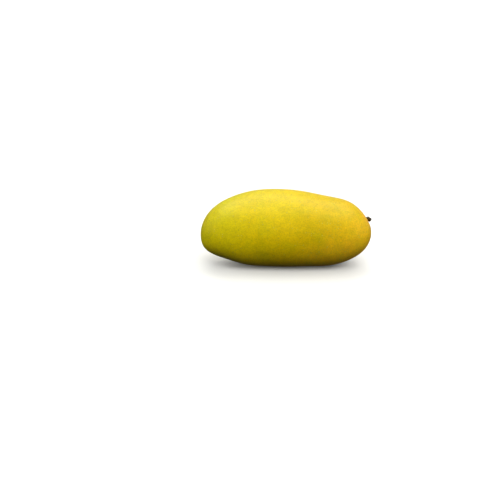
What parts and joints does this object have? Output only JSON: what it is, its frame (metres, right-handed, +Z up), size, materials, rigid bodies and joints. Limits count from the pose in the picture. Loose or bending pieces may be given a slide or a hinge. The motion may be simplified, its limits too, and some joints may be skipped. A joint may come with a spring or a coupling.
{
  "type": "whole oblong mango fruit",
  "caption": "Whole ripe oblong mango with a bowed back, a slight beak near the tip and a dry stalk stub, lying on its cheek on a small flat resting spot.",
  "frame": {"origin": "middle of the small flat spot on the cheek that the fruit rests on", "axes": "+X along the fruit from tip to stalk end, +Y across it, +Z up away from the surface it rests on"},
  "size_m": [0.13, 0.0585, 0.0573],
  "materials": {
    "mango_skin": "smooth waxy skin with fine pores, yellow green at the tip and golden at the stalk end",
    "dry_stalk": "dry, dark, wrinkled stalk"
  },
  "bodies": {
    "root": {"mango_fruit": "mango_skin", "stem_stub": "dry_stalk"}
  },
  "joints": []
}
